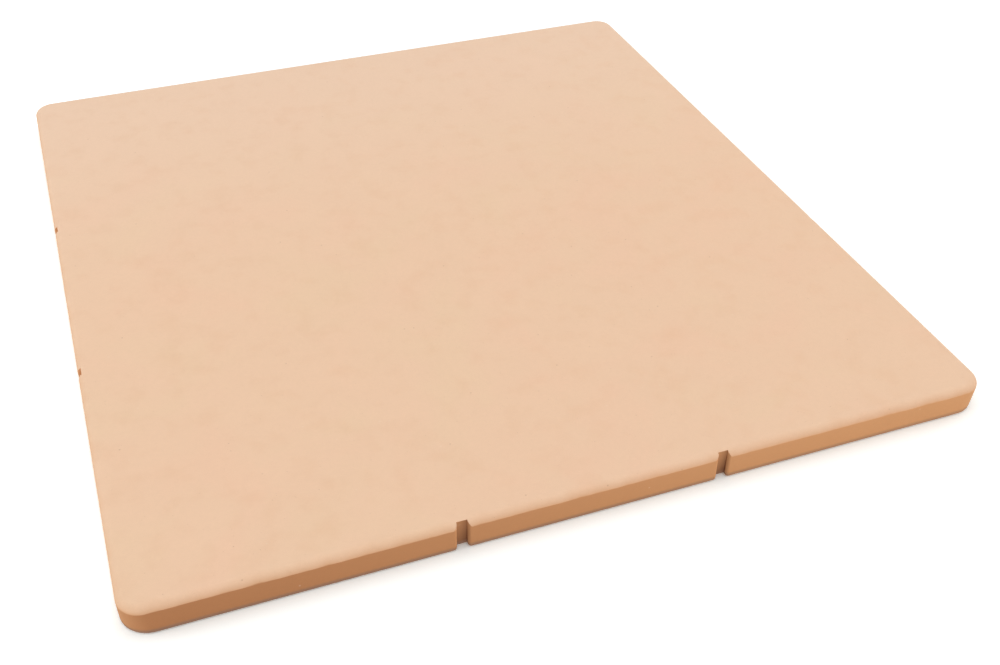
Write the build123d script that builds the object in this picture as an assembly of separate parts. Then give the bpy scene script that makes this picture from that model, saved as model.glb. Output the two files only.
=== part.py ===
# Pizza stone: one rectangular slab of fired cordierite with eight short relief slots in its edges.
# Millimetres. +X runs along the short edge nearest the viewer, +Y away from the viewer, +Z up.
# The origin is the middle of the underside, where the slab rests.

import os

from build123d import *

# Slab
slab_width = 380.0          # along X
slab_depth = 416.0          # along Y, the longer side
slab_thickness = 15.0
rim_corner_radius = 9.6     # the four corners seen from above, at the cooking face
foot_corner_radius = 12.4   # the same corners at the underside, where they are cut back more
top_arris_radius = 3.5      # rolled rim of the cooking face
bottom_arris_radius = 1.2   # eased rim of the underside, which also follows the slots

# Relief slots: two in each edge, through the whole thickness, each deeper at the foot than at the rim
slot_width = 4.6
slot_rim_depth = 1.7
slot_foot_depth = 2.6
slot_mouth_radius = 1.4     # flare where a slot opens onto the edge
slot_pitch_x = 115.4        # between the two slots of the front or the back edge
slot_pitch_y = 123.0        # between the two slots of the left or the right edge

# Overrun of every cut past the surface that it opens
overrun = 2.0


def rising(foot_size, rim_size, height):
    """A size that runs straight from the foot of the slab to its rim, and on past both."""
    return foot_size + (rim_size - foot_size) * height / slab_thickness


def corner_waste(height):
    """What a square corner at the origin loses at one height to become round. The slab lies at -x and -y."""
    radius = rising(foot_corner_radius, rim_corner_radius, height)
    outside = Polyline((-radius, 0), (-radius, overrun), (overrun, overrun), (overrun, -radius), (0, -radius))
    round_side = RadiusArc((0, -radius), (-radius, 0), -radius)
    return Pos(0, 0, height) * make_face(Curve() + [outside, round_side])


def slab_blank():
    """The slab before its slots: upright edges, corners cut back more at the foot, and a rolled top rim."""
    block = Pos(0, 0, slab_thickness / 2) * Box(slab_width, slab_depth, slab_thickness)
    waste = loft([corner_waste(-overrun), corner_waste(slab_thickness + overrun)], ruled=True)
    right_back = Pos(slab_width / 2, slab_depth / 2) * waste
    left_back = mirror(right_back, about=Plane.YZ)
    right_front = mirror(right_back, about=Plane.XZ)
    left_front = mirror(left_back, about=Plane.XZ)
    block -= [right_back, left_back, right_front, left_front]
    top_rim = block.faces().sort_by(Axis.Z)[-1].edges()
    return fillet(top_rim, top_arris_radius)


def slot_channel():
    """A slot without its end, seen from above: its mouth is on y = 0 and flares onto the edge."""
    wall_x = slot_width / 2
    mouth_x = wall_x + slot_mouth_radius
    far_y = slot_foot_depth + 2 * overrun
    outside = Polyline((0, far_y), (0, -overrun), (mouth_x, -overrun), (mouth_x, 0))
    flare = RadiusArc((mouth_x, 0), (wall_x, slot_mouth_radius), slot_mouth_radius)
    inside = Polyline((wall_x, slot_mouth_radius), (wall_x, far_y), (0, far_y))
    half = make_face(Curve() + [outside, flare, inside])
    return half + mirror(half, about=Plane.YZ)


def slot_cutter():
    """One slot as a solid that passes both faces of the slab. Its end wall goes in further towards the foot."""
    channel = extrude(Pos(0, 0, -overrun) * slot_channel(), slab_thickness + 2 * overrun)
    low_z = -overrun
    high_z = slab_thickness + overrun
    low_end = (rising(slot_foot_depth, slot_rim_depth, low_z), low_z)
    high_end = (rising(slot_foot_depth, slot_rim_depth, high_z), high_z)
    side_view = Polyline((-overrun, low_z), low_end, high_end, (-overrun, high_z), (-overrun, low_z))
    reach = extrude(make_face(Plane.YZ * side_view), slot_width, both=True)
    return channel & reach


def slot_places():
    """Where the eight slots stand: two on each edge, turned so that each mouth faces out."""
    places = []
    for quarter_turn in range(4):
        along_x = quarter_turn % 2 == 0
        pitch = slot_pitch_x if along_x else slot_pitch_y
        reach = slab_depth if along_x else slab_width
        for side in (-1, 1):
            places.append(Rot(0, 0, 90 * quarter_turn) * Pos(side * pitch / 2, -reach / 2))
    return places


def stone_slab():
    """The whole stone: the blank less its slots, with one eased rim all round the underside."""
    cutter = slot_cutter()
    slotted = slab_blank() - [place * cutter for place in slot_places()]
    foot_rim = slotted.faces().sort_by(Axis.Z)[0].edges()
    return fillet(foot_rim, bottom_arris_radius)


os.makedirs("parts", exist_ok=True)
export_step(stone_slab(), "parts/stone_slab.step")
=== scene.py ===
"""A fired-stone baking slab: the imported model's one piece gets its stone, and lies in plain studio light."""

import bpy
from bpy.props import FloatProperty, FloatVectorProperty, PointerProperty
from mathutils import Matrix, Vector


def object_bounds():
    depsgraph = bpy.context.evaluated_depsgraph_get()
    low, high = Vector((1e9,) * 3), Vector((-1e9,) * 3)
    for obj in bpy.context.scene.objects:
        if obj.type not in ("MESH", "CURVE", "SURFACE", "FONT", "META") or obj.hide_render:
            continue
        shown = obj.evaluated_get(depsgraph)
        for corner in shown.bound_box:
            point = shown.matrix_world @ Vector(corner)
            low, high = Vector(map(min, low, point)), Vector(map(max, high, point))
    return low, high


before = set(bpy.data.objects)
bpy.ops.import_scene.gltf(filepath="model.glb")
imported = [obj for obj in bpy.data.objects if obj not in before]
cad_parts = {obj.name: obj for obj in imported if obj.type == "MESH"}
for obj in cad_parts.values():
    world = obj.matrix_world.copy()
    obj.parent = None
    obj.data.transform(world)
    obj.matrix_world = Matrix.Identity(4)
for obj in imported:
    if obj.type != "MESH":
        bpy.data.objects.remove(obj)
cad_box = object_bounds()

bl_info = {
    "name": "Pizza Stone",
    "version": (1, 0, 0),
    "blender": (4, 5, 0),
    "location": "3D View > Sidebar > Pizza Stone",
    "description": "Finishes a fired-stone baking slab and lays it on a pale studio floor",
    "category": "Object",
}

# The slab, from its packed box. It is centred on the origin and stands on z = 0.
half_width, half_depth, thickness = cad_box[1]

white = (1.0, 1.0, 1.0)


def scaled(shares, size):
    """The two ends of a band that is given in shares of a size."""
    return tuple(end * size for end in shares)


# Settings

def colour(name, description, default, most=1.0):
    """A colour, in linear light."""
    return FloatVectorProperty(
        name=name, description=description, subtype="COLOR", size=3, min=0.0, max=most, default=default)


def length(name, description, default, least=0.0, most=0.1):
    """A length in metres."""
    return FloatProperty(
        name=name, description=description, subtype="DISTANCE", unit="LENGTH", precision=5,
        min=least, max=most, default=default)


def share(name, description, default):
    """A share, from none to all."""
    return FloatProperty(
        name=name, description=description, subtype="FACTOR", min=0.0, max=1.0, default=default)


def strength(name, description, default, least=0.0):
    """A strength of light, where 1 is plain."""
    return FloatProperty(name=name, description=description, min=least, max=2.0, default=default)


def point(name, description, default):
    """A place in metres."""
    return FloatVectorProperty(
        name=name, description=description, subtype="TRANSLATION", unit="LENGTH", size=3, precision=4,
        default=default)


def power(name, description, default):
    """A lamp's power in watts."""
    return FloatProperty(
        name=name, description=description, subtype="POWER", unit="POWER",
        min=0.0, max=500.0, default=default)


class StoneSettings(bpy.types.PropertyGroup):
    """What the fired stone looks like."""

    face_colour: colour(
        "Face", "The pale cooking face and the underside", (0.842, 0.587, 0.405))
    # Painted sheen: the face is paler and cooler towards the back, where light grazes it
    back_sheen_colour: colour(
        "Back of the face", "What the face turns into towards the back edge, where it fired cooler",
        (0.850, 0.620, 0.458))
    # Rim and edges: browner clay, with painted shade where the surface turns away from the top
    rim_colour: colour(
        "Rolled rim", "What the face turns into as it rolls over", (0.700, 0.383, 0.195))
    edge_colour: colour(
        "Edges", "The brown upright edges at the left", (0.460, 0.193, 0.073))
    # Painted light: the edges are paler towards the right, where more light falls on them
    lit_edge_colour: colour(
        "Paler edges", "The upright edges towards the right, which fired paler", (0.710, 0.353, 0.152))
    # Painted contact shadow along the foot of the edges
    foot_shadow_colour: colour(
        "Foot line", "The dark line where the edges meet what they stand on", (0.290, 0.165, 0.110))
    # Painted shade inside the front and back slots
    slot_shade_colour: colour(
        "Slots", "The dark inside of the front and back slots", (0.170, 0.058, 0.020))
    rosy_colour: colour(
        "Rosy cloud", "Where the clay fired a little pinker", (0.849, 0.579, 0.401))
    straw_colour: colour(
        "Straw cloud", "Where the clay fired a little yellower", (0.835, 0.593, 0.403))
    dark_grit_colour: colour(
        "Dark grit", "Iron specks and the mouths of pores", (0.360, 0.200, 0.115))
    pale_grit_colour: colour(
        "Pale grit", "Grains of grog that show at the surface", (0.900, 0.740, 0.600))
    cloud_size: length(
        "Cloud size", "Across one cloud of firing colour", 0.055, 0.01, 0.5)
    sand_size: length(
        "Sand size", "Across one grain of the clay body", 0.0005, 0.0002, 0.005)
    speck_spacing: length(
        "Speck spacing", "Between neighbouring places where a speck may show", 0.0048, 0.001, 0.02)
    pore_spacing: length(
        "Pore spacing", "Between neighbouring places where a pinhole may show", 0.0017, 0.0005, 0.01)
    foot_shadow_height: length(
        "Foot line height", "How far up the edges the dark line reaches", 0.0032, 0.0, 0.01)
    grain_contrast: share(
        "Grain contrast", "How far the sand grains differ in tone", 0.10)
    # Painted light and shade on the mouths of the front and back slots
    flare_light: share(
        "Pale flares", "How much paler the clay is where the flare of a slot faces right", 0.16)
    flare_shade: share(
        "Dark flares", "How much darker the clay is where the flare of a slot faces left", 0.30)
    slot_pitch: length(
        "Slot pitch", "Between the two slots of the front or the back edge", 0.1154, 0.01, 0.5)
    slot_width: length(
        "Slot width", "Between the side walls of a slot", 0.0046, 0.001, 0.02)
    waver: share(
        "Waver", "How far the brown of the edges wanders on the rolled rim", 0.30)
    relief: length(
        "Relief", "Height of the sand grains above the surface", 0.00005, 0.0, 0.001)
    roughness: share(
        "Roughness", "Of the bare stone between the grains", 0.86)


class StageSettings(bpy.types.PropertyGroup):
    """The floor, the lamps and the camera."""

    floor_colour: colour(
        "Floor", "What the floor throws back onto the stone", (0.80, 0.80, 0.80))
    floor_shown: colour(
        "Floor as seen", "A little past white, and a little cool, so that the shadow on it looks grey",
        (1.175, 1.235, 1.230), 2.0)
    # Painted light on the floor beside the left edge, which hides the slab's shadow there
    side_light_lift: strength(
        "Side lift", "How much brighter the floor is seen at the left, where the picture has no shadow",
        1.25, 1.0)
    floor_reach: length(
        "Floor reach", "From the middle of the floor to its edge", 12.0, 1.0, 50.0)
    floor_drop: length(
        "Floor drop", "A hair's breadth, so that the floor and the underside never lie in one plane",
        0.00005, 0.0, 0.001)
    sky_level: strength(
        "Room light", "Soft light from all round", 0.65)
    top_power: power(
        "Overhead lamp", "Power of the large soft lamp above", 3.95)
    left_power: power(
        "Left lamp", "Power of the soft lamp at the left", 2.55)
    right_power: power(
        "Right lamp", "Power of the soft lamp at the right", 2.15)
    front_power: power(
        "Front lamp", "Power of the soft lamp at the front", 2.25)
    camera_place: point(
        "Camera place", "Where the camera stands", (-0.163526, -0.526829, 0.371669))
    camera_aim: point(
        "Camera aim", "The point of the cooking face at the middle of the picture",
        (-0.002015, -0.099627, 0.015))
    camera_roll: FloatProperty(
        name="Camera roll", description="Turn about the line of sight",
        subtype="ANGLE", unit="ROTATION", min=-0.5, max=0.5, default=0.008839)
    lens: FloatProperty(
        name="Lens", description="Focal length on a 36 mm wide sensor",
        subtype="DISTANCE_CAMERA", unit="CAMERA", min=10.0, max=300.0, default=44.643)


# Shader maths

class Value:
    """A node socket that takes part in Python arithmetic. Each operation adds one Math node."""

    def __init__(self, finish, socket):
        self.finish = finish
        self.socket = socket

    def maths(self, operation, *inputs):
        return self.finish.node("ShaderNodeMath", {"operation": operation}, *inputs)

    def __add__(self, other): return self.maths("ADD", self, other)
    def __radd__(self, other): return self.maths("ADD", other, self)
    def __sub__(self, other): return self.maths("SUBTRACT", self, other)
    def __rsub__(self, other): return self.maths("SUBTRACT", other, self)
    def __mul__(self, other): return self.maths("MULTIPLY", self, other)
    def __rmul__(self, other): return self.maths("MULTIPLY", other, self)
    def __truediv__(self, other): return self.maths("DIVIDE", self, other)
    def __pow__(self, other): return self.maths("POWER", self, other)
    def __neg__(self): return self.maths("MULTIPLY", self, -1.0)

    def unsigned(self): return self.maths("ABSOLUTE", self)
    def sign(self): return self.maths("SIGN", self)
    def at_least(self, other): return self.maths("MAXIMUM", self, other)
    def at_most(self, other): return self.maths("MINIMUM", self, other)

    def between(self, low, high):
        """0 below low, 1 above high, and a smooth rise from one to the other."""
        ranged = {"interpolation_type": "SMOOTHSTEP"}
        return self.finish.node("ShaderNodeMapRange", ranged, Value=self, From_Min=low, From_Max=high)

    def also(self, name):
        """Another output of the same node."""
        return Value(self.finish, self.socket.node.outputs[name])


class Finish:
    """The nodes of one finish, of the floor or of the room light."""

    def __init__(self, owner, output="ShaderNodeOutputMaterial"):
        owner.use_nodes = True
        self.tree = owner.node_tree
        self.tree.nodes.clear()
        self.output = self.tree.nodes.new(output)

    def node(self, kind, settings=None, *ordered, out=0, **named):
        """Adds a node of that kind. Its settings come first, then the values or links of its sockets."""
        node = self.tree.nodes.new(kind)
        for key, value in (settings or {}).items():
            setattr(node, key, value)
        open_inputs = [socket for socket in node.inputs if socket.enabled]
        for socket, value in zip(open_inputs, ordered):
            self.feed(socket, value)
        for key, value in named.items():
            wanted = key.replace("_", " ")
            self.feed(next(socket for socket in open_inputs if socket.name == wanted), value)
        open_outputs = [socket for socket in node.outputs if socket.enabled]
        return Value(self, open_outputs[out] if isinstance(out, int) else node.outputs[out])

    def feed(self, socket, value):
        """Links a Value to a socket, or sets a number or a colour on it."""
        if isinstance(value, Value):
            self.tree.links.new(value.socket, socket)
        elif socket.type == "RGBA":
            socket.default_value = (*value, 1.0)
        else:
            socket.default_value = value

    def surface(self, shader):
        """The shader that the finish ends in."""
        self.tree.links.new(shader.socket, self.output.inputs["Surface"])

    def blend(self, factor, first, second):
        """One colour turning into the other as factor goes from 0 to 1."""
        return self.node("ShaderNodeMix", {"data_type": "RGBA"}, Factor=factor, A=first, B=second)

    def mix(self, factor, first, second):
        """One shader turning into the other as factor goes from 0 to 1."""
        return self.node("ShaderNodeMixShader", None, factor, first, second)

    def tint(self, shade, factor):
        """A colour made darker or paler by a number or a Value."""
        return self.node("ShaderNodeVectorMath", {"operation": "SCALE"}, shade, Scale=factor)

    def part(self, vector, axis):
        """One of the three numbers of a vector or a colour."""
        return self.node("ShaderNodeSeparateXYZ", None, vector, out="XYZ".index(axis))

    def noise(self, place, size, detail=2.0, rough=0.5, bend=0.0):
        """Soft random values about 0.5, with waves of that size."""
        return self.node(
            "ShaderNodeTexNoise", {"noise_dimensions": "3D", "normalize": True},
            Vector=place, Scale=1.0 / size, Detail=detail, Roughness=rough, Distortion=bend)

    def spots(self, place, spacing, radii, amount):
        """Round spots in a random grid, with radii from the least to the most.

        The amount is the share of the grid's cells that hold one. Each spot is soft from half its radius out.
        """
        least, most = radii
        cells = self.node(
            "ShaderNodeTexVoronoi", {"voronoi_dimensions": "3D", "feature": "F1"}, out="Distance",
            Vector=place, Scale=1.0 / spacing, Randomness=1.0)
        luck = cells.also("Color")
        radius = (least + (most - least) * self.part(luck, "Y")) / spacing
        spot = 1.0 - (cells / radius).between(0.5, 1.0)
        least_luck, sure_luck = 1.0 - amount, 1.02 - amount
        return spot * self.part(luck, "X").between(least_luck, sure_luck)

    def seen(self):
        """1 where a surface is looked at, even in gloss or glass, and 0 where it only throws light."""
        path = self.node("ShaderNodeLightPath", out="Is Camera Ray")
        return (path + path.also("Is Glossy Ray") + path.also("Is Transmission Ray")).at_most(1.0)


# The fired stone

# Bands on the slab in metres, from where a look starts to where it is complete
corner_band = (0.020, 0.021)          # along an edge from its corner: every slot is further along
side_band = (0.0, 0.001)              # how much nearer to the left or right edge than to the front or back
wall_band = (0.00001, 0.00015)        # in from the edge: the wall of a slot
flare_end_band = (0.0008, 0.0013)     # in from the edge: the flare of a slot ends
inside_band = (0.0010, 0.0018)        # in from the edge: the shaded inside of a slot
wander_band = (0.0105, 0.0125)        # up from the foot: the rim, where its brown may wander

# Bands of facing, as shares: 0 is square to the direction and 1 is straight along it
edge_end_band = (0.0, 0.14)           # up: the brown and painted shade of the edges end on the rim
upright_end_band = (0.05, 0.60)       # up or down: what is no longer upright
underside_band = (0.80, 0.97)         # down: the underside
lit_flare_band = (0.05, 0.30)        # right: the side of a slot's mouth that gets painted light

# Bands across the slab, as shares of half its width or depth
right_light_shares = (-1.3, 1.1)           # to the right: painted light makes the edges paler
back_sheen_shares = (-0.2, 1.1)             # to the back: the face grows paler and cooler with a painted sheen

# Bands of the clouds, which run from 0 to 1 about 0.5
rosy_band = (0.50, 0.70)
straw_band = (0.30, 0.50)

# Grains: least and most radius in metres, the share of places that hold one, and how strongly it shows
dark_speck_radii, dark_speck_share, dark_speck_tone = (0.00018, 0.00055), 0.16, 0.30
pale_speck_radii, pale_speck_share, pale_speck_tone = (0.00020, 0.00060), 0.12, 0.22
pinhole_radii, pinhole_share, pinhole_tone = (0.00008, 0.00020), 0.30, 0.35

# Sizes that follow a setting, as shares of it
patch_size_share = 0.4                # of a cloud: patches that are a little darker or paler
waver_size_share = 0.2                # of a cloud: the wander of the rim's brown
coarse_sand_share = 3.5               # of a grain of sand
pale_spacing_share = 0.83             # of the speck spacing
full_shadow_share = 0.35                # of the foot shadow's height: below this the painted shadow is at its darkest
coarse_contrast_share = 0.5           # of the grain contrast

# How strongly a look shows, as shares of full strength
back_sheen_tone = 0.8                       # the painted sheen at the back of the face
patch_tone = 0.03                     # the patches
rim_curve = 0.7                       # below 1, the face keeps its colour further round the rim
rim_light = 0.12                     # painted light: how much paler the rim is at the right
side_light_least = 0.5                     # painted light on the left and right edges, at the least
foot_shadow_tone = 0.90                 # the painted contact shadow at the foot, at its darkest
foot_shadow_fading = 0.40               # how much fainter it is where the edges are palest

# The shade inside a slot, from 0 to 1: at the foot of its left end, what changes it, and the deepest
slot_shade, slot_shade_most = 0.55, 0.92
shade_less_at_rim, shade_more_at_right, shade_less_on_left_wall = 0.42, 0.36, 0.10

# What the grains and the rim do to the roughness
sand_roughness, pinhole_roughness, rim_wear = 0.10, 0.08, 0.04

# How far the grains rise or dip, as shares of the relief
sand_rise, coarse_sand_rise, pale_speck_rise = 0.6, 0.9, 0.5
dark_speck_dip, pinhole_dip = 1.2, 1.6


class FiredStone(Finish):
    """Pale sandy clay with browner edges.

    The first two methods measure the slab and its grains. Each of the others lays one layer of colour over
    the one that it is given, or makes the roughness or the relief.
    """

    def __init__(self, stone):
        self.material = bpy.data.materials.new("fired_stone")
        super().__init__(self.material)
        self.stone = stone
        self.measure_slab()
        self.measure_grains()
        body = self.face()
        body = self.edges(body)
        body = self.flares(body)
        body = self.grit(body)
        body = self.slots(body)
        body = self.foot_shadow(body)
        self.surface(self.node(
            "ShaderNodeBsdfPrincipled", Base_Color=body, Roughness=self.rough(), Normal=self.bump(),
            IOR=1.45, Diffuse_Roughness=0.35))

    def measure_slab(self):
        """Where a point of the slab lies, which way it faces, how brown and shaded its rim is, and how much
        painted light pales its edges.
        """
        self.place = self.node("ShaderNodeTexCoord", out="Object")
        facing = self.node("ShaderNodeNewGeometry", out="Normal")
        self.across, self.along, self.height = (self.part(self.place, axis) for axis in "XYZ")
        self.rightward, self.upward = self.part(facing, "X"), self.part(facing, "Z")

        from_side = half_width - self.across.unsigned()
        from_end = half_depth - self.along.unsigned()
        past_corner = from_side.at_least(from_end).between(*corner_band)
        self.edge_depth = from_side.at_most(from_end) * past_corner
        self.on_side = (from_end - from_side).between(*side_band)
        self.upright = 1.0 - self.upward.unsigned().between(*upright_end_band)
        self.not_underside = 1.0 - (-self.upward).at_least(0.0).between(*underside_band)
        self.slot_wall = self.edge_depth.between(*wall_band) * self.upright

        waver = self.noise(self.place, self.stone.cloud_size * waver_size_share)
        wander = (waver - 0.5) * (2.0 * self.stone.waver) * self.height.between(*wander_band)
        self.rolled = (self.upward + wander).at_least(0.0).at_most(1.0)
        # Browner clay and painted shade, as the rim turns away from the top
        self.rim_brown_and_shade = 1.0 - self.rolled ** rim_curve
        # Painted light: paler edges towards the right, on faces that turn left or right, and inside the side
        # slots
        painted_light = self.across.between(*scaled(right_light_shares, half_width))
        painted_light = painted_light.at_least(self.rightward.unsigned() * side_light_least)
        self.painted_light = painted_light.at_least(self.slot_wall * self.on_side)

    def measure_grains(self):
        """The sand of the clay body, the specks and the pinholes, which tone, roughness and relief share."""
        stone = self.stone
        self.sand = self.noise(self.place, stone.sand_size, detail=3.0, rough=0.7)
        self.coarse_sand = self.noise(self.place, stone.sand_size * coarse_sand_share, rough=0.6)
        self.dark_specks = self.spots(self.place, stone.speck_spacing, dark_speck_radii, dark_speck_share)
        self.pale_specks = self.spots(
            self.place, stone.speck_spacing * pale_spacing_share, pale_speck_radii, pale_speck_share)
        self.pinholes = self.spots(self.place, stone.pore_spacing, pinhole_radii, pinhole_share)

    def face(self):
        """The pale clay, with clouds where it fired pinker or yellower, and a painted sheen that makes it
        paler and cooler towards the back.
        """
        stone = self.stone
        clouds = self.noise(self.place, stone.cloud_size, detail=3.0, rough=0.55, bend=0.4)
        # Painted sheen towards the back
        towards_back = self.along.between(*scaled(back_sheen_shares, half_depth))
        face = self.blend(clouds.between(*rosy_band), tuple(stone.face_colour), tuple(stone.rosy_colour))
        face = self.blend(1.0 - clouds.between(*straw_band), face, tuple(stone.straw_colour))
        return self.blend(towards_back * back_sheen_tone, face, tuple(stone.back_sheen_colour))

    def edges(self, body):
        """The face turns browner and darker with painted shade as it rolls over, into edges that painted light
        makes paler towards the right.
        """
        stone = self.stone
        rim = self.tint(tuple(stone.rim_colour), 1.0 + rim_light * self.painted_light)
        edge = self.blend(self.painted_light, tuple(stone.edge_colour), tuple(stone.lit_edge_colour))
        edge_brown_and_shade = 1.0 - self.rolled.between(*edge_end_band)
        body = self.blend(self.rim_brown_and_shade * self.not_underside, body, rim)
        return self.blend(edge_brown_and_shade * self.not_underside, body, edge)

    def flares(self, body):
        """Painted light and shade: each front or back slot's mouth is paler where it faces right and darker
        where it faces left.
        """
        flare = self.slot_wall * (1.0 - self.edge_depth.between(*flare_end_band)) * (1.0 - self.on_side)
        pale = self.rightward.between(*lit_flare_band) * self.stone.flare_light
        dark = (-self.rightward).at_least(0.0) * self.stone.flare_shade
        return self.tint(body, 1.0 + flare * (pale - dark))

    def grit(self, body):
        """Sand of mixed tones, dark and pale specks, and pinholes."""
        stone = self.stone
        patches = self.noise(self.place, stone.cloud_size * patch_size_share, detail=3.0, rough=0.6)
        grain = (self.sand - 0.5) * stone.grain_contrast
        coarse_grain = (self.coarse_sand - 0.5) * (coarse_contrast_share * stone.grain_contrast)
        body = self.tint(body, 1.0 + (grain + coarse_grain) + (patches - 0.5) * patch_tone)
        body = self.blend(self.dark_specks * dark_speck_tone, body, tuple(stone.dark_grit_colour))
        body = self.blend(self.pinholes * pinhole_tone, body, tuple(stone.dark_grit_colour))
        return self.blend(self.pale_specks * pale_speck_tone, body, tuple(stone.pale_grit_colour))

    def slots(self, body):
        """Painted shade inside the front and back slots, darker towards the foot and towards the right."""
        stone = self.stone
        middle = 0.5 * stone.slot_pitch * self.across.sign()
        half_slot = 0.5 * stone.slot_width
        towards_right = (self.across - middle).between(-half_slot, half_slot)
        towards_rim = self.height.between(0.0, thickness)
        shade = slot_shade - shade_less_at_rim * towards_rim + shade_more_at_right * towards_right
        shade = (shade - shade_less_on_left_wall * self.rightward).at_most(slot_shade_most)
        inside = self.edge_depth.between(*inside_band) * self.upright * (1.0 - self.on_side)
        return self.blend(inside * shade, body, tuple(stone.slot_shade_colour))

    def foot_shadow(self, body):
        """A painted contact shadow along the foot of the edges, fainter where painted light makes the edges
        paler.
        """
        top = self.stone.foot_shadow_height
        line = (1.0 - self.height.between(full_shadow_share * top, top)) * self.not_underside
        tone = foot_shadow_tone - foot_shadow_fading * self.painted_light
        return self.blend(line * tone, body, tuple(self.stone.foot_shadow_colour))

    def rough(self):
        """Dry and matt all over, a little less so on the worn rim."""
        rougher = (self.sand - 0.5) * sand_roughness + self.pinholes * pinhole_roughness
        return self.stone.roughness + rougher - self.rim_brown_and_shade * rim_wear

    def bump(self):
        """Sand and pale specks stand up, dark specks and pinholes go in."""
        raised = self.sand * sand_rise + self.coarse_sand * coarse_sand_rise
        raised = raised + self.pale_specks * pale_speck_rise
        sunk = self.dark_specks * dark_speck_dip + self.pinholes * pinhole_dip
        return self.node("ShaderNodeBump", Strength=1.0, Distance=self.stone.relief, Height=raised - sunk)


class PIZZASTONE_OT_slab(bpy.types.Operator):
    """Give the slab its fired stone"""

    bl_idname = "pizza_stone.slab"
    bl_label = "Finish the Slab"

    def execute(self, context):
        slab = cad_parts["stone_slab"]
        slab.data.materials.clear()
        slab.data.materials.append(FiredStone(context.scene.pizza_stone).material)
        return {"FINISHED"}


# The stage

# Bands on the floor, from where a look starts to where it is complete
beside_end_shares = (-1.0, -0.82)     # to the right, of half the slab's width: no longer beside the slab
behind_shares = (-1.0, -0.85)         # to the back, of half the slab's depth: behind the near corner
far_band = (0.4, 0.9)                 # from the middle, in metres: plain white

# How long a ray is that has not come from the underside, in floor drops
past_underside_drops = (3.0, 4.0)


def floor_finish(stage):
    """A matt board that is clear from below. Near the stone it is looked at a little past white.

    So only the stone's shadow shows on it. What it throws back onto the stone is its own pale colour.
    """
    material = bpy.data.materials.new("studio_floor")
    finish = Finish(material)
    place = finish.node("ShaderNodeTexCoord", out="Object")
    beside_slab = 1.0 - finish.part(place, "X").between(*scaled(beside_end_shares, half_width))
    behind_corner = finish.part(place, "Y").between(*scaled(behind_shares, half_depth))
    far_off = finish.node("ShaderNodeVectorMath", {"operation": "LENGTH"}, place).between(*far_band)

    # Painted light: beside the left edge the floor is seen brighter, which hides the slab's shadow there
    lit_floor_colour = tuple(part * stage.side_light_lift for part in stage.floor_shown)
    thrown = finish.node("ShaderNodeBsdfDiffuse", Color=tuple(stage.floor_colour))
    shown = finish.node("ShaderNodeBsdfDiffuse", Color=tuple(stage.floor_shown))
    lit_floor = finish.node("ShaderNodeBsdfDiffuse", Color=lit_floor_colour)
    plain_white = finish.node("ShaderNodeEmission", Color=white, Strength=1.0)
    shown = finish.mix(beside_slab * behind_corner, shown, lit_floor)
    shown = finish.mix(far_off, shown, plain_white)
    board = finish.mix(finish.seen(), thrown, shown)

    clear = finish.node("ShaderNodeBsdfTransparent", Color=white)
    from_below = finish.node("ShaderNodeNewGeometry", out="Backfacing")
    travelled = finish.node("ShaderNodeLightPath", out="Ray Length")
    from_underside = 1.0 - travelled.between(*scaled(past_underside_drops, stage.floor_drop))
    finish.surface(finish.mix(from_below.at_least(from_underside), board, clear))
    return material


def studio_floor(stage):
    """A flat board, just under the slab."""
    reach, low = stage.floor_reach, -stage.floor_drop
    corners = [(-reach, -reach, low), (reach, -reach, low), (reach, reach, low), (-reach, reach, low)]
    mesh = bpy.data.meshes.new("studio_floor")
    mesh.from_pydata(corners, [], [range(len(corners))])
    mesh.materials.append(floor_finish(stage))
    floor = bpy.data.objects.new("studio_floor", mesh)
    bpy.context.scene.collection.objects.link(floor)


def studio_room(stage):
    """Even light from all round. What is looked at beyond the floor is white."""
    room = bpy.data.worlds.new("studio_room")
    finish = Finish(room, "ShaderNodeOutputWorld")
    light = finish.node("ShaderNodeBackground", Color=white, Strength=stage.sky_level)
    beyond = finish.node("ShaderNodeBackground", Color=white, Strength=1.0)
    finish.surface(finish.mix(finish.seen(), light, beyond))
    bpy.context.scene.world = room


def soft_lamp(name, place, size, watts):
    """A rectangular soft lamp that faces the middle of the slab."""
    lamp = bpy.data.lights.new(name, "AREA")
    lamp.shape = "RECTANGLE"
    lamp.size, lamp.size_y = size
    lamp.energy = watts
    holder = bpy.data.objects.new(name, lamp)
    holder.location = place
    holder.rotation_euler = (-Vector(place)).to_track_quat("-Z", "Y").to_euler()
    holder.visible_camera = False
    bpy.context.scene.collection.objects.link(holder)


def studio_lamps(stage):
    """A large lamp above, one at each side and one in front."""
    soft_lamp("lamp_overhead", place=(0.0, 0.0, 1.3), size=(1.6, 1.6), watts=stage.top_power)
    soft_lamp("lamp_left", place=(-1.0, 0.0, 0.45), size=(0.8, 0.6), watts=stage.left_power)
    soft_lamp("lamp_right", place=(1.0, 0.1, 0.45), size=(0.8, 0.6), watts=stage.right_power)
    soft_lamp("lamp_front", place=(0.0, -1.2, 0.4), size=(0.8, 0.5), watts=stage.front_power)


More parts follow.
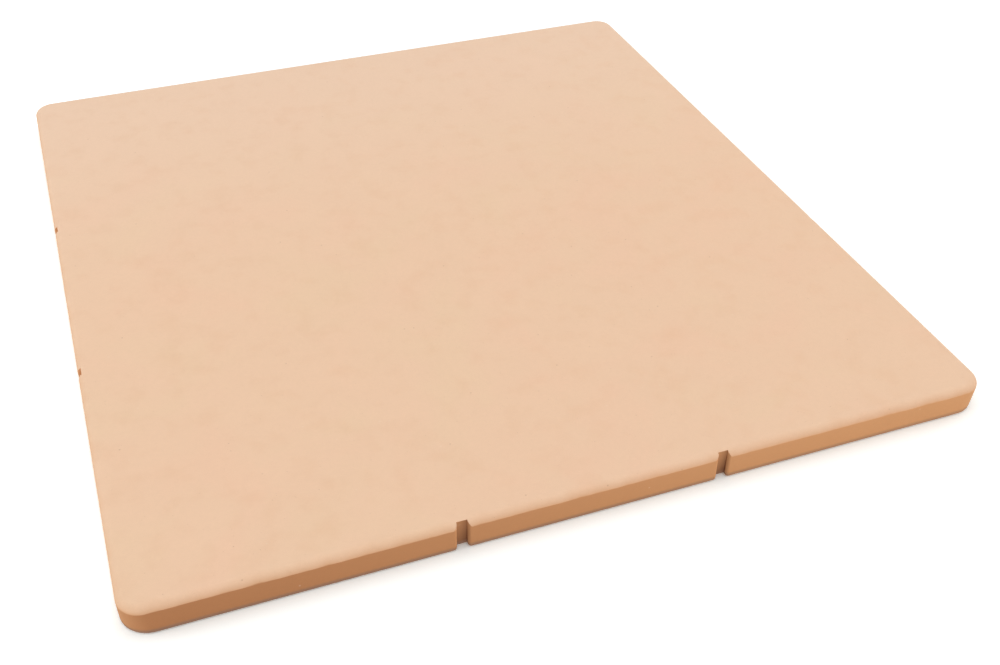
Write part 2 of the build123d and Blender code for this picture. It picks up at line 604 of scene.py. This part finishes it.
def studio_camera(stage):
    """The camera at the picture's viewing angle."""
    lens = bpy.data.cameras.new("studio_camera")
    lens.sensor_fit = "HORIZONTAL"
    lens.sensor_width = 36.0
    lens.lens = stage.lens
    lens.clip_start = 0.01
    lens.clip_end = 100.0
    camera = bpy.data.objects.new("studio_camera", lens)
    place, aim = Vector(stage.camera_place), Vector(stage.camera_aim)
    turn = (aim - place).to_track_quat("-Z", "Y").to_matrix().to_4x4()
    camera.matrix_world = Matrix.Translation(place) @ turn @ Matrix.Rotation(stage.camera_roll, 4, "Z")
    bpy.context.scene.collection.objects.link(camera)
    bpy.context.scene.camera = camera


class PIZZASTONE_OT_stage(bpy.types.Operator):
    """Set the pale floor, the soft lamps and the camera"""

    bl_idname = "pizza_stone.stage"
    bl_label = "Set the Stage"

    def execute(self, context):
        stage = context.scene.pizza_stone_stage
        context.scene.view_settings.view_transform = "Standard"
        studio_camera(stage)
        studio_floor(stage)
        studio_room(stage)
        studio_lamps(stage)
        return {"FINISHED"}


# The add-on

class PIZZASTONE_PT_sidebar(bpy.types.Panel):
    """The slab's finish and the stage, piece by piece"""

    bl_label = "Pizza Stone"
    bl_space_type = "VIEW_3D"
    bl_region_type = "UI"
    bl_category = "Pizza Stone"

    def draw(self, context):
        self.layout.use_property_split = True
        for operator, settings in (
                (PIZZASTONE_OT_slab, context.scene.pizza_stone),
                (PIZZASTONE_OT_stage, context.scene.pizza_stone_stage)):
            box = self.layout.box()
            for name in settings.bl_rna.properties.keys():
                if name not in {"rna_type", "name"}:
                    box.prop(settings, name)
            box.operator(operator.bl_idname)


classes = (StoneSettings, StageSettings, PIZZASTONE_OT_slab, PIZZASTONE_OT_stage, PIZZASTONE_PT_sidebar)


def register():
    for item in classes:
        bpy.utils.register_class(item)
    bpy.types.Scene.pizza_stone = PointerProperty(type=StoneSettings)
    bpy.types.Scene.pizza_stone_stage = PointerProperty(type=StageSettings)


def unregister():
    del bpy.types.Scene.pizza_stone_stage
    del bpy.types.Scene.pizza_stone
    for item in reversed(classes):
        bpy.utils.unregister_class(item)


def main():
    """Sets the stage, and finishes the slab."""
    register()
    bpy.ops.pizza_stone.stage()
    bpy.ops.pizza_stone.slab()
    bpy.context.view_layer.update()


if __name__ == "__main__":
    main()
